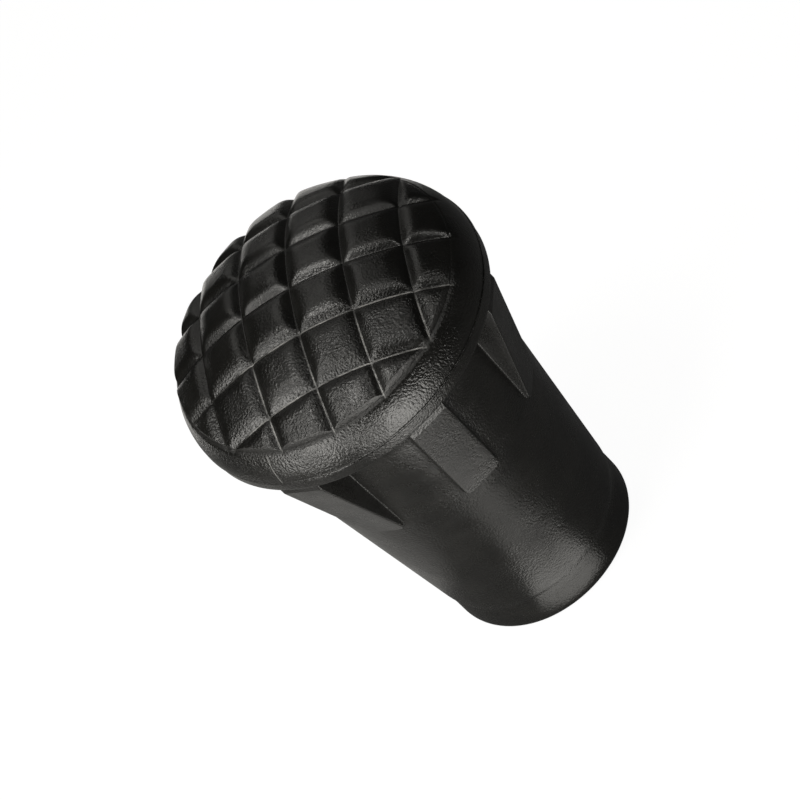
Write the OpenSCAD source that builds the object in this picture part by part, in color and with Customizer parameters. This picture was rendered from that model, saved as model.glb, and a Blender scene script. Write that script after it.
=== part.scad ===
// Rubber tip for a walking pole or cane, moulded in one piece.
// It stands on the mouth of its sleeve, at z = 0, with the tread up. Millimetres.

/* [Head] */
// Diameter of the head at its moulding line
rim_d = 36; // [32:0.5:42]
// Height of the moulding line above the mouth
rim_z = 41.4; // [38:0.2:60]
// Rise of the crown above the moulding line
crown_rise = 9.1; // [8.5:0.05:11]
// Radius of the shoulder, which is upright at the moulding line
shoulder_r = 6.5; // [5.5:0.1:6.8]
// Height of the band below the moulding line
band_h = 1.7; // [1:0.1:2.5]
// How far the band is set in from the moulding line
band_inset = 0.15; // [0.05:0.05:0.4]
// Width of the ledge under the band
band_ledge = 0.1; // [0.05:0.05:0.4]
// Radius of the hollow under the band
hollow_r = 4.3; // [3:0.1:7]
// How far the thin flash stands out all along the moulding line
flash_w = 0.12; // [0.05:0.01:0.3]
// Thickness of the flash
flash_h = 0.16; // [0.1:0.01:0.3]

/* [Tread] */
// How far the edge of the tread lies inside the moulding line
tread_inset = 1.55; // [1.4:0.05:2.2]
// Height of that edge above the shoulder
tread_step = 0.34; // [0.2:0.02:0.6]
// Angle by which the edge leans in from upright
tread_lean = 20; // [5:1:24]
// Spacing of the grooves
groove_pitch = 6.12; // [5.2:0.02:7]
// Grooves in each of the two directions
groove_count = 5; // [3:1:5]
// Depth of the grooves at the middle of the crown
groove_depth = 0.85; // [0.6:0.05:1.6]
// Angle between the two sides of a groove
groove_angle = 114; // [90:2:124]
// Width of the plain margin outside the ends of the grooves, seen from above
margin_w = 1; // [0.6:0.1:1.2]

/* [Ribs] */
// Ribs round the neck
rib_count = 7; // [4:1:9]
// Width of a rib
rib_w = 4.8; // [3:0.1:6]
// Height of a rib, from the band down to where it runs into the sleeve
rib_h = 15; // [12:0.1:18]
// How far the corners of a rib's head are set in from the band
rib_inset = 0.05; // [0.02:0.01:0.08]
// Height of the upright head of a rib
rib_head_h = 0.8; // [0.4:0.1:2]
// How far the foot of a rib stands out from the sleeve
rib_foot_w = 0.12; // [0.06:0.02:0.6]
// Radius of the lower corners of a rib
rib_corner_r = 0.9; // [0.4:0.1:1.4]
// Angle from the grooves to the first rib
rib_turn = -64.4; // [-90:0.1:90]

/* [Sleeve] */
// Diameter of the sleeve below the hollow
neck_d = 28; // [26.5:0.1:29.5]
// Diameter of the sleeve at its knee, where the taper steepens
knee_d = 27.1; // [25:0.1:28]
// Height of the knee above the mouth
knee_z = 25; // [20:0.2:28]
// Diameter of the sleeve just above its lip
waist_d = 22.7; // [20:0.1:25]
// Height of the lip round the mouth
lip_h = 4.9; // [3:0.1:8]
// Diameter of the lip
lip_d = 22.3; // [20:0.1:26]
// Radius of the outer edge of the mouth
mouth_edge_r = 1.2; // [0.6:0.1:1.8]

/* [Bore] */
// Diameter of the bore
bore_d = 11; // [8:0.5:14]
// Depth of the bore
bore_depth = 34; // [25:1:37]
// Width of the bevel at the mouth of the bore
bore_bevel = 0.6; // [0.3:0.1:1.2]

/* [Hidden] */
$fn = 96;
// Height of the tread's root in the shoulder, as a share of the shoulder's radius
tread_root = 0.3;
// Depth to which a rib is rooted in the neck
rib_root = 2;
// Length by which the bore's cutter stands out of the mouth
run_out = 1;

rim_r = rim_d / 2;
flash_r = rim_r + flash_w;
flash_z = rim_z - flash_h;
crown_z = rim_z + crown_rise;
shoulder_x = rim_r - shoulder_r;

band_r = rim_r - band_inset;
band_z = rim_z - band_h;
neck_r = neck_d / 2;
knee_r = knee_d / 2;
waist_r = waist_d / 2;
lip_r = lip_d / 2;
bore_r = bore_d / 2;
// The hollow is an arc that is upright at the neck and ends at the ledge of the band
hollow_x = neck_r + hollow_r;
hollow_z = band_z - sqrt(hollow_r ^ 2 - (band_r - band_ledge - hollow_x) ^ 2);

// The edge of the tread is a cone that stands on the shoulder, and the crown passes through its top
tread_r = rim_r - tread_inset;
tread_z = shoulder_z(tread_r) + tread_step;
root_z = rim_z + tread_root * shoulder_r;
crown_r = ((crown_z - tread_z) ^ 2 + tread_r ^ 2) / (2 * (crown_z - tread_z));
crown_centre_z = crown_z - crown_r;

// The bottoms of the grooves lie on a sphere, from the middle of the crown out to the margin
margin_r = rim_r - margin_w;
margin_z = shoulder_z(margin_r);
floor_z = crown_z - groove_depth;
floor_r = ((floor_z - margin_z) ^ 2 + margin_r ^ 2) / (2 * (floor_z - margin_z));
// How far a groove's cutter stands above the bottom of the groove
cutter_h = 2 * groove_depth;

// The corners of a rib's head stay inside the band
rib_r = sqrt(band_r ^ 2 - (rib_w / 2) ^ 2) - rib_inset;
rib_foot_z = band_z - rib_h;
rib_foot_r = lookup(rib_foot_z, [[lip_h, waist_r], [knee_z, knee_r], [hollow_z, neck_r]]) + rib_foot_w;

// Height of the shoulder at a radius
function shoulder_z(r) = rim_z + sqrt(shoulder_r ^ 2 - (r - shoulder_x) ^ 2);

// Radius of the tread's edge at a height
function edge_r(z) = tread_r + (tread_z - z) * tan(tread_lean);

// Half section of the body
module body_section() {
    mouth_x = lip_r - mouth_edge_r;
    // Lip, sleeve, neck, band and flash
    polygon([[0, 0], [mouth_x, 0], [lip_r, mouth_edge_r], [waist_r, lip_h], [knee_r, knee_z],
             [neck_r, hollow_z], [knee_r, band_z], [band_r, band_z], [band_r, flash_z],
             [flash_r, flash_z], [flash_r, rim_z], [0, rim_z]]);
    // Outer edge of the mouth
    intersection() {
        translate([mouth_x, mouth_edge_r]) circle(mouth_edge_r);
        translate([mouth_x, -mouth_edge_r]) square(2 * mouth_edge_r);
    }
    // Hollow under the band
    difference() {
        translate([0, hollow_z]) square([min(band_r - band_ledge / 2, hollow_x), flash_z - hollow_z]);
        translate([hollow_x, hollow_z]) circle(hollow_r);
    }
    // Crown, edge of the tread and shoulder
    intersection() {
        translate([0, crown_centre_z]) circle(crown_r);
        union() {
            polygon([[0, flash_z], [shoulder_x, flash_z], [edge_r(root_z), root_z],
                     [edge_r(2 * crown_z - rim_z), 2 * crown_z - rim_z], [0, 2 * crown_z - rim_z]]);
            translate([shoulder_x, rim_z]) circle(shoulder_r);
        }
        translate([-rim_d, rim_z - flash_h / 2]) square([2 * rim_d, crown_r]);
    }
}

// Outline of a rib's face, with its two lower corners rounded
module rib_face() {
    corner_x = rib_w / 2 - rib_corner_r;
    corner_z = rib_foot_z + rib_corner_r;
    translate([-rib_w / 2, corner_z]) square([rib_w, rim_z - corner_z]);
    translate([-corner_x, rib_foot_z]) square([2 * corner_x, 2 * rib_corner_r]);
    for (side = [-1, 1])
        translate([side * corner_x, corner_z]) circle(rib_corner_r);
}

// One rib, on the +X side: it fills the hollow and runs down into the sleeve
module rib() {
    root_r = rib_foot_r - rib_root;
    intersection() {
        rotate([90, 0, 0]) linear_extrude(rib_w, center = true)
            polygon([[root_r, rib_foot_z], [rib_foot_r, rib_foot_z],
                     [rib_r, band_z - rib_head_h], [rib_r, flash_z], [root_r, flash_z]]);
        rotate([90, 0, 90]) linear_extrude(rim_r) rib_face();
    }
}

// Cutter of one V-groove: a ring with a pointed inner edge, stood upright across the crown. The
// point of the V lies on the sphere of the groove bottoms and faces its centre.
module groove(offset_x) {
    half_w = cutter_h * tan(groove_angle / 2);
    translate([0, 0, floor_z - floor_r]) rotate([0, 90, 0]) rotate_extrude()
        rotate(asin(offset_x / floor_r))
            polygon([[floor_r, 0], [floor_r + cutter_h, -half_w], [floor_r + cutter_h, half_w]]);
}

// The grooves of one direction
module groove_set() {
    for (i = [0 : groove_count - 1])
        groove((i - (groove_count - 1) / 2) * groove_pitch);
}

// Blind bore for the end of the pole, with a bevelled mouth
module bore() {
    translate([0, 0, -run_out]) cylinder(r = bore_r, h = bore_depth + run_out);
    translate([0, 0, -run_out])
        cylinder(r1 = bore_r + bore_bevel + run_out, r2 = bore_r, h = bore_bevel + run_out);
}

// The whole tip: a turned body with ribs, less two crossing sets of grooves and the bore
module rubber_tip() {
    color("#1b1b1b")
        difference() {
            difference() {
                union() {
                    rotate_extrude() body_section();
                    for (i = [0 : rib_count - 1])
                        rotate([0, 0, rib_turn + i * 360 / rib_count]) rib();
                }
                groove_set();
                bore();
            }
            rotate([0, 0, 90]) groove_set();
        }
}

rubber_tip();
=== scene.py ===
import math

import bpy
import numpy as np
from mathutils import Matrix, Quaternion, Vector


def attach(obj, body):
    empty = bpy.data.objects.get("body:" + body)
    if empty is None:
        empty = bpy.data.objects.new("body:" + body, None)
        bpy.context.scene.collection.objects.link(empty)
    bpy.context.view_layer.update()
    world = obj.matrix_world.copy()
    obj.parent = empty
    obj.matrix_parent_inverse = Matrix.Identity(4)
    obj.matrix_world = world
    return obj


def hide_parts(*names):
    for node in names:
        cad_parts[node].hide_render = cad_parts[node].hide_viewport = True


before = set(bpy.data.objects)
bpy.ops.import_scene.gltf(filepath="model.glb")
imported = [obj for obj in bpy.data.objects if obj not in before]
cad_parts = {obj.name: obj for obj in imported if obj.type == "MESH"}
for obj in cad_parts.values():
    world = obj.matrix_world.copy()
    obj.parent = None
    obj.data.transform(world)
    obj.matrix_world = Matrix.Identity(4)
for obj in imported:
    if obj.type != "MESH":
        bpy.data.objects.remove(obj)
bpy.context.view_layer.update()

# ---------------------------------------------------------------------------------------------
# Rubber tip: the whole part, one moulding of black rubber that is pressed onto the end of a
# pole. Its domed tread is cut by two crossing sets of V-grooves, seven ribs brace the neck under
# the head, and the sleeve tapers down to a lip round the bore. Lengths are in millimetres.
# ---------------------------------------------------------------------------------------------
MM = 0.001

# Head: a crown, and a rounded shoulder that is upright at the moulding line
RIM_R = 18.0
RIM_Z = 41.4
CROWN_Z = 50.5
SHOULDER_R = 6.5
SHOULDER_X = RIM_R - SHOULDER_R

# Tread: blocks that end at a steep edge, a small step above the shoulder, with a shallow trough
# outside it
CROWN_R = 32.03
CROWN_CENTRE_Z = CROWN_Z - CROWN_R
TREAD_R = 16.63
TREAD_Z = CROWN_CENTRE_Z + math.sqrt(CROWN_R ** 2 - TREAD_R ** 2)
TREAD_LEAN = math.radians(3)
TROUGH_DEPTH = 0.34
TROUGH_W = 0.8

# Crease: the point of the half section where the steep edge, carried on down, meets the shoulder
shoulder_centre = np.array([SHOULDER_X, RIM_Z])
tread_corner = np.array([TREAD_R, TREAD_Z])
down_edge = np.array([math.sin(TREAD_LEAN), -math.cos(TREAD_LEAN)])
from_centre = tread_corner - shoulder_centre
inward = from_centre @ down_edge
to_shoulder = -inward - math.sqrt(inward ** 2 - from_centre @ from_centre + SHOULDER_R ** 2)
crease = tread_corner + down_edge * to_shoulder
EDGE_STEP = TREAD_Z - crease[1]

# Run-out: round the azimuth SMOOTH_SIDE the blocks come down to the shoulder with no step. The
# step is gone up to RUN_END - RUN_FADE to either side, and is whole again past RUN_END
SMOOTH_SIDE = math.radians(30)
RUN_END = math.radians(62)
RUN_FADE = math.radians(24)
RUN_START = 12.5

# Grooves: their bottoms lie on a sphere that meets the shoulder at MARGIN_R
GROOVE_PITCH = 6.12
END_GROOVE = 2
GROOVE_DEPTH = 0.85
GROOVE_HALF_ANGLE = math.radians(57)
GROOVE_FILLET = 0.08
GROOVE_BULGE = 0.35
EDGE_BLEND = 0.45
MITRE_BLEND = 0.4
MARGIN_R = 17.0
MARGIN_Z = RIM_Z + math.sqrt(SHOULDER_R ** 2 - (MARGIN_R - SHOULDER_X) ** 2)
FLOOR_Z = CROWN_Z - GROOVE_DEPTH
FLOOR_R = ((FLOOR_Z - MARGIN_Z) ** 2 + MARGIN_R ** 2) / (2 * (FLOOR_Z - MARGIN_Z))

# Ridges: fine flash along the bottoms of the grooves, which rises over RIDGE_FADE from RIDGE_Y
# towards -Y
RIDGE_H = 0.05
RIDGE_W = 0.06
RIDGE_Y = -3.0
RIDGE_FADE = 2.0


def groove_height(across, along, y):
    """Height of the nearest groove's side. The groove is a V that points at the centre of the
    floor's sphere and is turned about a level line through that centre. Its radius at a distance
    from the bottom line is the bottom's radius plus that distance over the tangent of the side's
    angle, where a hyperbola rounds the point of the V. The sides bulge: a square term makes them
    steeper than the V below and flatter above, out to the groove's depth. A ridge of flash, a
    bell curve across, runs along the bottom line."""
    nearest = np.clip(np.round(across / GROOVE_PITCH), -END_GROOVE, END_GROOVE) * GROOVE_PITCH
    away = across - nearest
    lean = np.arcsin(nearest / FLOOR_R) * np.sign(away)
    from_line = np.sqrt(away ** 2 + GROOVE_FILLET ** 2) - GROOVE_FILLET
    rise = from_line / np.tan(GROOVE_HALF_ANGLE + lean)
    in_groove = rise - rise ** 2 / GROOVE_DEPTH
    bulge = GROOVE_BULGE * np.where(rise < GROOVE_DEPTH, in_groove, GROOVE_DEPTH - rise)
    ridge = RIDGE_H * np.exp(-(away / RIDGE_W) ** 2) * np.clip((RIDGE_Y - y) / RIDGE_FADE, 0, 1)
    ring = np.sqrt(FLOOR_R ** 2 - nearest ** 2) + rise + bulge + ridge
    return FLOOR_Z - FLOOR_R + np.sqrt(np.maximum(ring ** 2 - along ** 2, 0))


def soft_min(a, b, blend):
    """The lower of two heights, with the edge between them rounded: where they differ by less
    than blend, the square of what is missing over four times blend is taken off."""
    return np.minimum(a, b) - np.maximum(blend - np.abs(a - b), 0) ** 2 / (4 * blend)


def cut_height(x, y, plain):
    """Height of the tread: the plain head's height, lowered to both sets of grooves."""
    grooves = soft_min(groove_height(x, y, y), groove_height(y, x, y), MITRE_BLEND)
    return soft_min(plain, grooves, EDGE_BLEND)


def smooth_share(x, y):
    """How much the tread's edge has run out into the shoulder at this azimuth, from 0 to 1: a
    smooth step over RUN_FADE that ends at RUN_END to either side of SMOOTH_SIDE."""
    away = np.abs(np.angle(np.exp(1j * (np.arctan2(y, x) - SMOOTH_SIDE))))
    u = np.clip((RUN_END - away) / RUN_FADE, 0, 1)
    return u * u * (3 - 2 * u)


def run_out(x, y):
    """How far the crown comes down towards an edge that runs out into the shoulder: the step's
    height times the cube of the way out from RUN_START to the edge."""
    way_out = np.clip((np.hypot(x, y) - RUN_START) / (TREAD_R - RUN_START), 0, 1)
    return EDGE_STEP * smooth_share(x, y) * way_out ** 3


def tread_lines():
    """Places of the tread mesh's lines across the grooves: close together at each bottom line
    and along the edges of the blocks, and wider on their tops and outside the last groove."""
    half = GROOVE_PITCH / 2
    at_ridge = [0.0, 0.035, 0.07, 0.12]
    up_the_side = np.linspace(0.2, 2.3, 12)
    on_top = [2.6, half]
    near = np.concatenate([at_ridge, up_the_side, on_top])
    past_tread = TREAD_R + 0.4
    past_last = np.linspace(half, past_tread - GROOVE_PITCH * END_GROOVE, 10)[1:]
    side = np.concatenate([near[1:], -near[:-1]])
    middles = np.arange(-END_GROOVE, END_GROOVE + 1) * GROOVE_PITCH
    outer = middles[-1] + past_last
    lines = np.concatenate([(middles[:, None] + side[None, :]).ravel(), outer, -outer,
                            [middles[0] - half]])
    return np.unique(np.round(lines, 6))


def tread_mesh(edge_r):
    """The tread inside the circle of radius edge_r, as a height field on a square grid. Points
    within near_edge of the circle or past it are pulled onto it, and squares with no other point
    are dropped. Returns the points, the squares, and the points on the circle in the order of
    their angle."""
    near_edge = 0.04
    lines = tread_lines()
    n = len(lines)
    x, y = np.meshgrid(lines, lines, indexing="ij")
    r = np.hypot(x, y)
    on_edge = r > edge_r - near_edge
    pull = np.where(on_edge, edge_r / np.maximum(r, 1e-9), 1.0)
    x, y = x * pull, y * pull
    crown = CROWN_CENTRE_Z + np.sqrt(CROWN_R ** 2 - x ** 2 - y ** 2) - run_out(x, y)
    points = np.stack([x, y, cut_height(x, y, crown)], axis=-1).reshape(-1, 3)
    i, j = np.meshgrid(np.arange(n - 1), np.arange(n - 1), indexing="ij")
    corner = (i * n + j).ravel()
    squares = np.stack([corner, corner + n, corner + n + 1, corner + 1], axis=1)
    squares = squares[~on_edge.ravel()[squares].all(axis=1)]
    used = np.unique(squares)
    renumber = np.full(n * n, -1)
    renumber[used] = np.arange(len(used))
    rim = used[on_edge.ravel()[used]]
    angle = np.mod(np.arctan2(points[rim, 1], points[rim, 0]), 2 * np.pi)
    return points[used], renumber[squares], renumber[rim[np.argsort(angle)]]


# Ribs under the head. A rib is a flat plate with parallel sides: an upright head under the band,
# then a sloping face down to a low foot with rounded corners
RIBS = 7
RIB_TURN = math.radians(-64.4)
RIB_HALF_W = 2.4
RIB_R = 17.638
RIB_HEAD_H = 0.8
RIB_FOOT_Z = 24.7
RIB_FOOT_OUT = 0.12
RIB_CORNER_R = 0.9
RIB_EDGE_R = 0.14
RIB_ROOT_R = 0.2

# Flash at the moulding line with a dark gap under it, the band, and the hollow under the band
FLASH_OUT = 0.11
FLASH_H = 0.14
FLASH_GAP = 0.3
BAND_R = 17.85
BAND_Z = 39.7
LEDGE = 0.2
NECK_R = 14.0
HOLLOW_R = 4.3
HOLLOW_X = NECK_R + HOLLOW_R
HOLLOW_Z = BAND_Z - math.sqrt(HOLLOW_R ** 2 - (BAND_R - LEDGE - HOLLOW_X) ** 2)

# Sleeve, its lip, and the blind bore
KNEE_R = 13.55
KNEE_Z = 25.0
WAIST_R = 11.35
LIP_Z = 4.9
LIP_R = 11.15
MOUTH_EDGE_R = 1.2
BORE_R = 5.5
BORE_DEPTH = 34.0
BORE_BEVEL = 0.6
BORE_END_R = 0.6


def sleeve_radius(z):
    """Radius of the sleeve between the ribs: the arc of the hollow under the band, then a slight
    taper down the neck to the knee, and a steeper one from the knee to the lip."""
    hollow = HOLLOW_X - np.sqrt(np.maximum(HOLLOW_R ** 2 - np.maximum(z - HOLLOW_Z, 0) ** 2, 0))
    neck = KNEE_R + (NECK_R - KNEE_R) * (z - KNEE_Z) / (HOLLOW_Z - KNEE_Z)
    taper = WAIST_R + (KNEE_R - WAIST_R) * (z - LIP_Z) / (KNEE_Z - LIP_Z)
    return np.where(z > HOLLOW_Z, hollow, np.where(z > KNEE_Z, neck, taper))


def rib_profile(z):
    """Distance of a rib's face from the axis, and half its width, at height z. The face is upright
    at the head and a straight slope below it, and the lower corners follow a circle."""
    slope_top = BAND_Z - RIB_HEAD_H
    foot_r = sleeve_radius(RIB_FOOT_Z) + RIB_FOOT_OUT
    part = np.clip((z - RIB_FOOT_Z) / (slope_top - RIB_FOOT_Z), 0, 1)
    below = np.clip(RIB_CORNER_R - (z - RIB_FOOT_Z), 0, RIB_CORNER_R)
    half_w = RIB_HALF_W - RIB_CORNER_R + np.sqrt(RIB_CORNER_R ** 2 - below ** 2)
    return foot_r + (RIB_R - foot_r) * part, half_w


def half_section(sleeve, face, half_w):
    """Half of one rib's share of the section, from the middle of its face to midway between two
    ribs, one row for each height: the flat face, its rounded edge, the side wall, the fillet at
    its root and the arc of the sleeve. Where the rib is low neither rounding takes more than
    round_share of how far it stands out, and nothing lies inside the sleeve."""
    face_steps, edge_steps, wall_steps, root_steps, arc_steps = 5, 4, 2, 3, 8
    round_share = 0.45
    sleeve, face, half_w = (np.asarray(a, float)[:, None] for a in (sleeve, face, half_w))
    stand = np.clip(face - np.sqrt(sleeve ** 2 - half_w ** 2), 0, None)
    edge = np.minimum(RIB_EDGE_R, round_share * stand)
    root = np.minimum(RIB_ROOT_R, round_share * stand)
    root_x = np.sqrt((sleeve + root) ** 2 - (half_w + root) ** 2)
    root_angle = np.arctan2(half_w + root, root_x)
    flat = np.linspace(0, 1, face_steps + 1)[None, :]
    turn = np.linspace(0, 1, edge_steps + 1)[None, 1:]
    wall = np.linspace(0, 1, wall_steps + 1)[None, 1:]
    fillet = np.linspace(0, 1, root_steps + 1)[None, 1:]
    arc = np.linspace(0, 1, arc_steps + 1)[None, 1:]
    edge_turn = turn * np.pi / 2
    root_turn = -np.pi / 2 + fillet * (root_angle - np.pi / 2)
    arc_angle = root_angle + arc * (np.pi / RIBS - root_angle)
    x = np.concatenate([
        face + 0 * flat,
        face - edge + edge * np.cos(edge_turn),
        face - edge + wall * (root_x - face + edge),
        root_x + root * np.cos(root_turn),
        sleeve * np.cos(arc_angle)], axis=1)
    y = np.concatenate([
        flat * (half_w - edge),
        half_w - edge + edge * np.sin(edge_turn),
        half_w + 0 * wall,
        half_w + root + root * np.sin(root_turn),
        sleeve * np.sin(arc_angle)], axis=1)
    push = np.maximum(sleeve / np.hypot(x, y), 1)
    return x * push, y * push


def all_round(x, y):
    """Mirrors half a rib's share of each row and turns a copy of it to each rib's azimuth."""
    share_x = np.concatenate([x[:, -2:0:-1], x], axis=1)[:, None, :]
    share_y = np.concatenate([-y[:, -2:0:-1], y], axis=1)[:, None, :]
    turn = (RIB_TURN + np.arange(RIBS) * 2 * np.pi / RIBS)[None, :, None]
    rows = len(x)
    return np.stack([share_x * np.cos(turn) - share_y * np.sin(turn),
                     share_x * np.sin(turn) + share_y * np.cos(turn)], axis=-1).reshape(rows, -1, 2)


def arc_points(centre, radius, start, end, steps):
    """Points on an arc of the half section, from angle start to angle end in degrees."""
    a = np.radians(np.linspace(start, end, steps + 1))
    return np.stack([centre[0] + radius * np.cos(a), centre[1] + radius * np.sin(a)], axis=1)


def line_points(points, steps):
    """Points along straight lines of the half section, with that many steps on each line."""
    points = np.asarray(points, float)
    parts = [points[:1]]
    for start, end, n in zip(points[:-1], points[1:], steps):
        parts.append(start + (end - start) * np.linspace(0, 1, n + 1)[1:, None])
    return np.concatenate(parts)


def rounded(start, corner, end, steps):
    """A rounded corner between two points: a parabola that touches both lines at its ends."""
    start, corner, end = (np.asarray(point) for point in (start, corner, end))
    u = np.linspace(0, 1, steps + 1)[:, None]
    return (1 - u) ** 2 * start + 2 * u * (1 - u) * corner + u ** 2 * end


# Half section of the head from GRID_R outwards: crown, steep edge, crease, trough and shoulder. The
# shoulder's first CUT_ROWS rows are those that the grooves may still reach
GRID_R = 15.7
ROUND = 0.07
ROUND_STEPS = 4
OUTER_COLUMNS = 900
CUT_ROWS = 13
crease_angle = math.atan2(crease[1] - RIM_Z, crease[0] - SHOULDER_X)
crown_r = np.array([15.82, 15.97, 16.12, 16.26, 16.4, TREAD_R - ROUND])
crown_rows = np.stack([crown_r, CROWN_CENTRE_Z + np.sqrt(CROWN_R ** 2 - crown_r ** 2)], axis=1)
out_from_crease = np.concatenate([
    np.linspace(0.08, TROUGH_W, 10), np.linspace(TROUGH_W, crease_angle * SHOULDER_R, 25)[1:]])
trough = TROUGH_DEPTH * np.clip(1 - out_from_crease / TROUGH_W, 0, 1) ** 2
shoulder_turn = crease_angle - out_from_crease / SHOULDER_R
shoulder_way = np.stack([np.cos(shoulder_turn), np.sin(shoulder_turn)], axis=1)
shoulder_rows = shoulder_centre + (SHOULDER_R - trough)[:, None] * shoulder_way
deep_crease = crease + TROUGH_DEPTH * down_edge
wall_rows = np.concatenate([
    rounded(crown_rows[-1], tread_corner, tread_corner + ROUND * down_edge, ROUND_STEPS)[1:],
    rounded(deep_crease - ROUND * down_edge, deep_crease, shoulder_rows[0], ROUND_STEPS)])
edge_rows = np.concatenate([crown_rows, wall_rows, shoulder_rows[1:CUT_ROWS]])

# The same rows where the edge has run out: the crown comes down with the cube of the way out, as in
# run_out, STEP_LEFT of the step is left, and the shoulder has no trough. Each column of the mesh
# lies between the two by its smooth_share
STEP_LEFT = 0.02
crown_way = (crown_rows[:, :1] - RUN_START) / (TREAD_R - RUN_START)
run_corner = tread_corner - [ROUND, EDGE_STEP - STEP_LEFT]
smooth_rows = shoulder_centre + SHOULDER_R * shoulder_way
run_rows = np.concatenate([
    crown_rows - [0, EDGE_STEP] * crown_way ** 3,
    np.linspace(run_corner, smooth_rows[0], len(wall_rows) + 1)[1:],
    smooth_rows[1:CUT_ROWS]])
outer_angle = np.arange(OUTER_COLUMNS) * 2 * np.pi / OUTER_COLUMNS
run = smooth_share(np.cos(outer_angle), np.sin(outer_angle))
outer_r = edge_rows[:, :1] + (run_rows - edge_rows)[:, :1] * run
outer_x = outer_r * np.cos(outer_angle)
outer_y = outer_r * np.sin(outer_angle)
outer_z = cut_height(outer_x, outer_y, edge_rows[:, 1:] + (run_rows - edge_rows)[:, 1:] * run)
outer_points = np.stack([outer_x, outer_y, outer_z], axis=-1)
tread_points, tread_squares, tread_rim = tread_mesh(GRID_R)

# Ribbed rows, from the band down: the ribs' upright heads, the hollow, the neck, the round lower
# corners, and a short undercut below each foot, which sinks into the sleeve
below_band = np.array([0.0, 0.03, 0.08, 0.15, 0.3, 0.5, 0.65, 0.74, 0.79, 0.82, 0.88, 1.0])
corner_turn = np.linspace(0, np.pi / 2, 10)[1:]
rib_z = np.concatenate([
    BAND_Z - below_band,
    np.linspace(BAND_Z - 1.2, HOLLOW_Z, 12),
    np.linspace(HOLLOW_Z, RIB_FOOT_Z + RIB_CORNER_R, 12)[1:],
    RIB_FOOT_Z + RIB_CORNER_R * (1 - np.sin(corner_turn))])
rib_face, rib_half_w = rib_profile(rib_z)
below_foot = np.array([0.0, 0.04, 0.12, 0.25])
sunk_in = np.array([0.08, 0.2, 0.55, 0.9])
rib_z = np.concatenate([rib_z, RIB_FOOT_Z - below_foot])
rib_face = np.concatenate([rib_face, rib_face[-1] - sunk_in])
rib_half_w = np.concatenate([rib_half_w, np.full(len(below_foot), rib_half_w[-1])])
ribbed = all_round(*half_section(sleeve_radius(rib_z), rib_face, rib_half_w))

# Plain rows above the ribs: the rest of the shoulder, the flash and its gap, and the band with a
# small rounding at its lower edge. Each is a distance from the axis and a height
flash_r = RIM_R + FLASH_OUT
flash_z = RIM_Z - FLASH_H
gap_r = RIM_R - FLASH_GAP
angle_above = np.arctan2(ribbed[0, :, 1], ribbed[0, :, 0])
above = np.concatenate([
    shoulder_rows[CUT_ROWS:],
    [(flash_r, RIM_Z - 0.02), (flash_r, flash_z)],
    [(gap_r, flash_z - 0.01), (gap_r, flash_z - 0.12)],
    line_points([(RIM_R - 0.04, flash_z - 0.18), (BAND_R + 0.02, BAND_Z + 0.12)], [4]),
    [(BAND_R - 0.02, BAND_Z + 0.03), (BAND_R - 0.08, BAND_Z)]])

# Plain rows below them: sleeve, lip, mouth and bore. Their columns start bunched as under the ribs
# and spread evenly over the first EVEN_OUT of the sleeve
SLEEVE_TOP_Z, SLEEVE_END_Z = 23.9, 5.6
EVEN_OUT = 4.0
mouth_x = LIP_R - MOUTH_EDGE_R
below = np.concatenate([
    line_points([(sleeve_radius(SLEEVE_TOP_Z), SLEEVE_TOP_Z),
                 (sleeve_radius(SLEEVE_END_Z), SLEEVE_END_Z)], [14]),
    line_points([(WAIST_R, LIP_Z + 0.2), (LIP_R, LIP_Z - 0.5), (LIP_R, MOUTH_EDGE_R)], [3, 4]),
    arc_points((mouth_x, MOUTH_EDGE_R), MOUTH_EDGE_R, 0, -90, 9)[1:],
    line_points([(mouth_x - 0.4, 0), (BORE_R + BORE_BEVEL, 0), (BORE_R, BORE_BEVEL),
                 (BORE_R, BORE_DEPTH - BORE_END_R)], [5, 2, 10]),
    arc_points((BORE_R - BORE_END_R, BORE_DEPTH - BORE_END_R), BORE_END_R, 0, 90, 4)[1:],
    line_points([(BORE_R - 2 * BORE_END_R, BORE_DEPTH), (0.5, BORE_DEPTH)], [4])])
columns = ribbed.shape[1]
even = RIB_TURN + (np.arange(columns) - (columns // RIBS - 2) / 2) * 2 * np.pi / columns
bunched = np.unwrap(np.arctan2(ribbed[-1, :, 1], ribbed[-1, :, 0]))
even += 2 * np.pi * np.round(np.mean(bunched - even) / (2 * np.pi))
share = np.clip((SLEEVE_TOP_Z - below[:, 1]) / EVEN_OUT, 0, 1)[:, None]
angle_below = bunched + (even - bunched) * share


def turned(rows, angle):
    """Turns the points of the half section into rings, with the columns at the given angles."""
    return np.stack([rows[:, :1] * np.cos(angle), rows[:, :1] * np.sin(angle),
                     rows[:, 1:] + 0 * angle], axis=-1)


# The flash and its gap are whole up to FLASH_END - FLASH_FADE to either side of FLASH_SIDE. Past
# FLASH_END only FLASH_LEAST of each is left
FLASH_SIDE = math.radians(35)
FLASH_END = math.radians(140)
FLASH_FADE = math.radians(50)
FLASH_LEAST = 0.15
plain_rings = turned(above, angle_above[None, :])
plain_r = np.hypot(plain_rings[..., 0], plain_rings[..., 1])
from_side = np.abs(np.angle(np.exp(1j * (angle_above - FLASH_SIDE))))
fade = np.clip((FLASH_END - from_side) / FLASH_FADE, 0, 1)
kept = FLASH_LEAST + (1 - FLASH_LEAST) * fade * fade * (3 - 2 * fade)
quiet_r = np.clip(above[:, 0], RIM_R - 0.02, RIM_R)[:, None]
at_flash = ((above[:, 1] < RIM_Z) & (above[:, 1] > flash_z - 0.15))[:, None]
new_r = np.where(at_flash, quiet_r + (plain_r - quiet_r) * kept[None, :], plain_r)
plain_rings[..., :2] *= (new_r / plain_r)[..., None]
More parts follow.
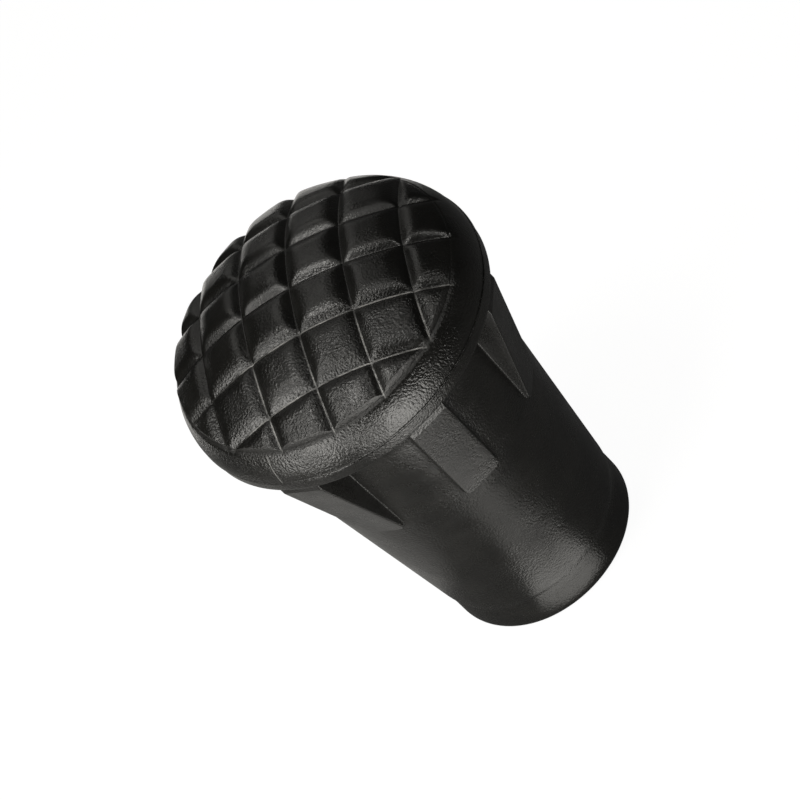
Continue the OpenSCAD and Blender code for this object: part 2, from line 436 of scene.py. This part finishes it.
ribbed_z = np.broadcast_to(rib_z[:, None, None], ribbed.shape[:2] + (1,))
rings = np.concatenate([
    plain_rings,
    np.concatenate([ribbed, ribbed_z], axis=2),
    turned(below, angle_below)])


def strips(first, count, columns):
    """Squares between neighbouring rings of a closed grid, wound so that they face outwards."""
    row, col = np.meshgrid(np.arange(count - 1), np.arange(columns), indexing="ij")
    a = first + row * columns + col
    b = first + row * columns + (col + 1) % columns
    return np.stack([a, a + columns, b + columns, b], axis=-1).reshape(-1, 4)


def zipper(inner, inner_angle, outer, outer_angle):
    """Triangles between two rings with different numbers of points. Each ring's edges are taken
    in the order of their middle angles, and each edge's triangle ends at the other ring's point
    that has been reached by then."""
    def middles(angle):
        after = np.append(angle[1:], angle[0] + 2 * np.pi)
        return (angle + after) / 2
    inner_mid, outer_mid = middles(inner_angle), middles(outer_angle)
    n, m = len(inner), len(outer)
    to_outer = np.searchsorted(outer_mid, inner_mid) % m
    to_inner = np.searchsorted(inner_mid, outer_mid) % n
    fans_in = np.stack([inner, outer[to_outer], np.roll(inner, -1)], axis=1)
    fans_out = np.stack([outer, np.roll(outer, -1), inner[to_inner]], axis=1)
    return np.concatenate([fans_in, fans_out])


# One closed skin: the tread's grid, the rings round it, all the rings below, and the middle of the
# bore's end
outer_first = len(tread_points)
outer_last = outer_first + (len(edge_rows) - 1) * OUTER_COLUMNS
first = outer_last + OUTER_COLUMNS
bore_end = [[0, 0, BORE_DEPTH]]
points = np.concatenate([tread_points, outer_points.reshape(-1, 3), rings.reshape(-1, 3), bore_end])
squares = np.concatenate([tread_squares, strips(outer_first, len(edge_rows), OUTER_COLUMNS),
                          strips(first, len(rings), columns)])
rim_angle = np.mod(np.arctan2(points[tread_rim, 1], points[tread_rim, 0]), 2 * np.pi)
ring_angle = np.mod(np.arctan2(rings[0, :, 1], rings[0, :, 0]), 2 * np.pi)
order = np.argsort(ring_angle)
outer_around = np.arange(OUTER_COLUMNS)
around = np.arange(columns)
last = first + (len(rings) - 1) * columns
middle = np.full(columns, len(points) - 1)
triangles = np.concatenate([
    zipper(tread_rim, rim_angle, outer_first + outer_around, outer_angle),
    zipper(outer_last + outer_around, outer_angle, first + order, ring_angle[order]),
    np.stack([last + around, middle, last + (around + 1) % columns], axis=1)])

SHARP_FROM = math.radians(38)
mesh = bpy.data.meshes.new("rubber_tip_skin")
mesh.from_pydata((points * MM).tolist(), [], squares.tolist() + triangles.tolist())
mesh.shade_smooth()
mesh.set_sharp_from_angle(angle=SHARP_FROM)
tip = bpy.data.objects.new("rubber_tip_skin", mesh)
bpy.context.scene.collection.objects.link(tip)

# Black rubber. Every pattern in it is read from the place on the piece
BLACK = (0.003, 0.0029, 0.0024, 1)
CLOUDY_BLACK = (0.006, 0.0058, 0.005, 1)
# The light grey below is a painted highlight for the groove ridges, not a colour of the rubber
HIGHLIGHT_GREY = (0.24, 0.237, 0.228, 1)
rubber = bpy.data.materials.new("black rubber")
rubber.use_nodes = True
nodes, links = rubber.node_tree.nodes, rubber.node_tree.links
shader = nodes["Principled BSDF"]
place = nodes.new("ShaderNodeTexCoord").outputs["Object"]
place_parts = nodes.new("ShaderNodeSeparateXYZ")
links.new(place, place_parts.inputs["Vector"])
x_place, y_place, z_place = (place_parts.outputs[axis] for axis in "XYZ")


def noise(scale, detail, roughness=0.5, distortion=0.0):
    """Noise in the rubber, with that many features to a metre."""
    node = nodes.new("ShaderNodeTexNoise")
    node.inputs["Scale"].default_value = scale
    node.inputs["Detail"].default_value = detail
    node.inputs["Roughness"].default_value = roughness
    node.inputs["Distortion"].default_value = distortion
    links.new(place, node.inputs["Vector"])
    return node.outputs["Fac"]


def fit(value, low, high, new_low, new_high):
    """Maps a value from one range to another, smoothly at both ends."""
    node = nodes.new("ShaderNodeMapRange")
    node.interpolation_type = "SMOOTHSTEP"
    node.inputs["From Min"].default_value = low
    node.inputs["From Max"].default_value = high
    node.inputs["To Min"].default_value = new_low
    node.inputs["To Max"].default_value = new_high
    links.new(value, node.inputs["Value"])
    return node.outputs["Result"]


def change(way, start, end, at_start, at_end):
    """A number that goes smoothly from at_start to at_end between two places in millimetres."""
    return fit(way, start * MM, end * MM, at_start, at_end)


def math_node(operation, *values):
    """One step of arithmetic on sockets or numbers."""
    node = nodes.new("ShaderNodeMath")
    node.operation = operation
    for socket, value in zip(node.inputs, values):
        if isinstance(value, (int, float)):
            socket.default_value = value
        else:
            links.new(value, socket)
    return node.outputs[0]


def product(*values):
    """All the values multiplied together."""
    result = values[0]
    for value in values[1:]:
        result = math_node("MULTIPLY", result, value)
    return result


# Leathery grain of the mould: small rounded cells between fine wrinkles. It is stronger in
# patches, on the -Y side and on the head
cells = nodes.new("ShaderNodeTexVoronoi")
cells.feature = "SMOOTH_F1"
cells.inputs["Scale"].default_value = 4200
cells.inputs["Smoothness"].default_value = 0.5
links.new(place, cells.inputs["Vector"])
wrinkles = noise(3600, 3, 0.6, 0.5)
grain = math_node("SUBTRACT", wrinkles, product(cells.outputs["Distance"], 0.7))
patches = product(fit(noise(170, 2), 0.35, 0.65, 0.5, 1.0),
                  change(y_place, -9, 1, 1.0, 0.3),
                  change(z_place, 38, 46, 0.5, 1.0))
fine = nodes.new("ShaderNodeBump")
fine.inputs["Distance"].default_value = 0.1 * MM
links.new(patches, fine.inputs["Strength"])

# Witness line of the mould: a fine raised line down the shoulder, outside the tread
WITNESS_AZIMUTH = math.radians(-118.2)
WITNESS_H = 0.5
witness_turn = nodes.new("ShaderNodeMapping")
witness_turn.inputs["Rotation"].default_value = (0, 0, -WITNESS_AZIMUTH)
links.new(place, witness_turn.inputs["Vector"])
witness_place = nodes.new("ShaderNodeSeparateXYZ")
links.new(witness_turn.outputs["Vector"], witness_place.inputs["Vector"])
on_line = change(math_node("ABSOLUTE", witness_place.outputs["Y"]), 0.02, 0.08, 1.0, 0.0)
outside_tread = change(witness_place.outputs["X"], 16.8, 17.1, 0.0, 1.0)
above_flash = change(witness_place.outputs["Z"], 41.2, 41.6, 0.0, 1.0)
witness = product(on_line, outside_tread, above_flash)
links.new(math_node("ADD", grain, product(witness, WITNESS_H)), fine.inputs["Height"])

# Slight unevenness of the moulded skin
waves = nodes.new("ShaderNodeBump")
waves.inputs["Strength"].default_value = 0.5
waves.inputs["Distance"].default_value = 0.08 * MM
links.new(noise(380, 1), waves.inputs["Height"])
links.new(waves.outputs["Normal"], fine.inputs["Normal"])
links.new(fine.outputs["Normal"], shader.inputs["Normal"])

# Sheen: smoother and rougher patches, a little duller in the wrinkles, and a dull band in the
# trough outside the tread, which nothing rubs. The band ends where the edge has run out
WRINKLE_DULLNESS = 0.06
TROUGH_DULLNESS = 0.2
level_place = nodes.new("ShaderNodeVectorMath")
level_place.operation = "MULTIPLY"
level_place.inputs[1].default_value = (1, 1, 0)
links.new(place, level_place.inputs[0])
from_axis_node = nodes.new("ShaderNodeVectorMath")
from_axis_node.operation = "LENGTH"
links.new(level_place.outputs["Vector"], from_axis_node.inputs[0])
from_axis = from_axis_node.outputs["Value"]
towards_smooth = nodes.new("ShaderNodeVectorMath")
towards_smooth.operation = "DOT_PRODUCT"
towards_smooth.inputs[1].default_value = (math.cos(SMOOTH_SIDE), math.sin(SMOOTH_SIDE), 0)
links.new(place, towards_smooth.inputs[0])
dull_band = product(change(from_axis, 16.55, 16.62, 0.0, 1.0),
                    change(from_axis, 16.9, 17.0, 1.0, 0.0),
                    change(z_place, 42.5, 43, 0.0, 1.0),
                    change(towards_smooth.outputs["Value"], 7.9, 13.2, 1.0, 0.0))
patchy = fit(noise(300, 3), 0.3, 0.7, 0.22, 0.3)
sheen = math_node("ADD", patchy, product(wrinkles, WRINKLE_DULLNESS))
links.new(math_node("ADD", sheen, product(dull_band, TROUGH_DULLNESS)), shader.inputs["Roughness"])

# Colour: black, a little greyer in clouds
clouds = fit(noise(240, 4, 0.6), 0.3, 0.75, 0.0, 1.0)
tone = nodes.new("ShaderNodeMix")
tone.data_type = "RGBA"
tone.inputs["A"].default_value = BLACK
tone.inputs["B"].default_value = CLOUDY_BLACK
links.new(clouds, tone.inputs["Factor"])

# Painted highlights: light grey in the base colour stands in for the glints along the ridges in the
# groove bottoms on the -Y half, where they face the lamps, in broken runs that thin out towards -X;
# the witness line gets the same grey, more faintly
WITNESS_GREY = 0.42
half_pitch = GROOVE_PITCH / 2 * MM
x_ridge = product(change(math_node("PINGPONG", x_place, half_pitch), 0.04, 0.1, 1.0, 0.0),
                  change(y_place, -8.5, -5, 0.7, 0.0))
y_ridge = product(change(math_node("PINGPONG", y_place, half_pitch), 0.04, 0.1, 1.0, 0.0),
                  change(y_place, -6, -4, 1.0, 0.0))
ridges = product(math_node("MAXIMUM", x_ridge, y_ridge),
                 change(x_place, -12.5, -6, 0.1, 1.0),
                 change(from_axis, 16.6, 17.1, 1.0, 0.0),
                 change(z_place, 41, 42, 0.0, 1.0),
                 fit(noise(420, 3, 0.6), 0.38, 0.6, 0.2, 1.0))
# Where the painted highlight grey goes: the ridges' glints, and the witness line more faintly
highlights_and_witness = math_node("MAXIMUM", ridges, product(witness, WITNESS_GREY))
highlighted = nodes.new("ShaderNodeMix")
highlighted.data_type = "RGBA"
highlighted.inputs["B"].default_value = HIGHLIGHT_GREY
links.new(highlights_and_witness, highlighted.inputs["Factor"])
links.new(tone.outputs["Result"], highlighted.inputs["A"])
links.new(highlighted.outputs["Result"], shader.inputs["Base Color"])
mesh.materials.append(rubber)

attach(tip, "root")
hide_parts("rubber_tip")

# ---------------------------------------------------------------------------------------------
# Studio: a plain pale floor, soft lamps that the camera doesn't see, some of them lying on the
# floor, and a camera with a long lens, rolled by 45 degrees. The floor looks nearly white by a
# glow on the camera's own rays, which lights nothing. Lengths are in millimetres.
# ---------------------------------------------------------------------------------------------
# Floor. Gloss sees only GLOSSY_SHARE of its glow
FLOOR_HALF = 3000
FLOOR_GREY = (0.07, 0.07, 0.07, 1)
FLOOR_GLOW = (0.95, 0.95, 0.95, 1)
GLOSSY_SHARE = 0.04
side = FLOOR_HALF * MM
floor_corners = [(-side, -side, 0), (side, -side, 0), (side, side, 0), (-side, side, 0)]
floor_mesh = bpy.data.meshes.new("floor")
floor_mesh.from_pydata(floor_corners, [], [(0, 1, 2, 3)])
floor = bpy.data.objects.new("floor", floor_mesh)
bpy.context.scene.collection.objects.link(floor)
paint = bpy.data.materials.new("pale floor")
paint.use_nodes = True
nodes, links = paint.node_tree.nodes, paint.node_tree.links
nodes["Principled BSDF"].inputs["Base Color"].default_value = FLOOR_GREY
nodes["Principled BSDF"].inputs["Roughness"].default_value = 0.6
rays = nodes.new("ShaderNodeLightPath")
seen = nodes.new("ShaderNodeMath")
seen.operation = "MAXIMUM"
links.new(rays.outputs["Is Camera Ray"], seen.inputs[0])
links.new(rays.outputs["Is Transmission Ray"], seen.inputs[1])
whiteness = nodes.new("ShaderNodeMath")
whiteness.operation = "MULTIPLY_ADD"
whiteness.inputs[1].default_value = GLOSSY_SHARE
links.new(rays.outputs["Is Glossy Ray"], whiteness.inputs[0])
links.new(seen.outputs[0], whiteness.inputs[2])
glow = nodes.new("ShaderNodeEmission")
glow.inputs["Color"].default_value = FLOOR_GLOW
links.new(whiteness.outputs[0], glow.inputs["Strength"])
both = nodes.new("ShaderNodeAddShader")
links.new(nodes["Principled BSDF"].outputs[0], both.inputs[0])
links.new(glow.outputs[0], both.inputs[1])
links.new(both.outputs[0], nodes["Material Output"].inputs["Surface"])
floor_mesh.materials.append(paint)

# The room's own light, and the lamps
ROOM_GREY = (0.03, 0.03, 0.03, 1)
LAMP_WHITE = (1, 0.98, 0.935)
PANEL_Z = 0.5
HEAD = (0, 0, 45)
world = bpy.data.worlds.new("studio")
world.use_nodes = True
world.node_tree.nodes["Background"].inputs["Color"].default_value = ROOM_GREY
bpy.context.scene.world = world


def soft_lamp(name, centre, facing, width, height, radiance):
    """A soft lamp with its centre at a point, facing another, both in millimetres. Its power is pi
    times its area times the radiance that it shows."""
    light = bpy.data.lights.new(name, "AREA")
    light.shape = "RECTANGLE"
    light.size, light.size_y = width * MM, height * MM
    light.color = LAMP_WHITE
    light.energy = math.pi * light.size * light.size_y * radiance
    lamp = bpy.data.objects.new(name, light)
    bpy.context.scene.collection.objects.link(lamp)
    lamp.location = Vector(centre) * MM
    lamp.rotation_mode = "QUATERNION"
    lamp.rotation_quaternion = (Vector(centre) - Vector(facing)).to_track_quat("Z", "Y")
    lamp.visible_camera = False
    return lamp


def beside(azimuth, distance, height):
    """The point at an azimuth, a distance from the tip's axis and a height above the floor."""
    turn = math.radians(azimuth)
    return (distance * math.cos(turn), distance * math.sin(turn), height)


def lying_panel(name, azimuth, near, far, width, radiance):
    """A soft lamp that lies face up on the floor, from a near to a far distance from the axis."""
    middle = beside(azimuth, (near + far) / 2, PANEL_Z)
    panel = soft_lamp(name, middle, (0, 0, 0), width, far - near, radiance)
    face_up = Quaternion((1, 0, 0), math.pi)
    panel.rotation_quaternion = Quaternion((0, 0, 1), math.radians(azimuth - 90)) @ face_up


soft_lamp("front lamp", beside(-72, 125, 26), beside(-72, 0, 26), 57, 50, 9.5)
soft_lamp("left lamp", beside(-126, 125, 72), beside(-126, 0, 55), 62, 143, 8.2)
soft_lamp("upper left lamp", beside(-156, 210, 300), HEAD, 80, 80, 7)
soft_lamp("top lamp", (0, 0, 375), HEAD, 240, 240, 0.9)
soft_lamp("small top lamp", beside(-122, 84, 361), HEAD, 78, 78, 17)
soft_lamp("right lamp", beside(-5, 185, 275), HEAD, 45, 45, 13)
soft_lamp("back fill", beside(103, 212, 298), HEAD, 150, 150, 0.9)
soft_lamp("low back fill", beside(104, 314, 147), HEAD, 160, 120, 0.4)
lying_panel("foot panel", -72, 12, 17.5, 12, 2)
lying_panel("near panel", -74, 20, 52, 12, 0.8)
lying_panel("far panel", -73, 56, 122, 46, 6.4)
lying_panel("left floor panel", 170, 14, 60, 50, 0.3)
lying_panel("back floor panel", 125, 75, 200, 150, 1.3)

# Camera: where it aims, and how far off it stands in which direction
VIEW_AIM = Vector((2.541, -5.846, 34.102)) * MM
VIEW_DISTANCE = 543.21 * MM
VIEW_AZIMUTH, VIEW_ELEVATION, VIEW_ROLL = (math.radians(a) for a in (24.671, 41.127, -45.30))
VIEW_LENS, VIEW_SENSOR = 239.6, 36
back = Vector((math.sin(VIEW_AZIMUTH) * math.cos(VIEW_ELEVATION),
               -math.cos(VIEW_AZIMUTH) * math.cos(VIEW_ELEVATION),
               math.sin(VIEW_ELEVATION)))
roll = Quaternion((0, 0, 1), VIEW_ROLL)
camera = bpy.data.objects.new("camera", bpy.data.cameras.new("camera"))
bpy.context.scene.collection.objects.link(camera)
camera.data.lens = VIEW_LENS
camera.data.sensor_width = VIEW_SENSOR
camera.data.clip_start, camera.data.clip_end = 10 * MM, 20000 * MM
camera.location = VIEW_AIM + back * VIEW_DISTANCE
camera.rotation_mode = "QUATERNION"
camera.rotation_quaternion = (-back).to_track_quat("-Z", "Y") @ roll
bpy.context.scene.camera = camera

bpy.context.scene.view_settings.view_transform = "Standard"
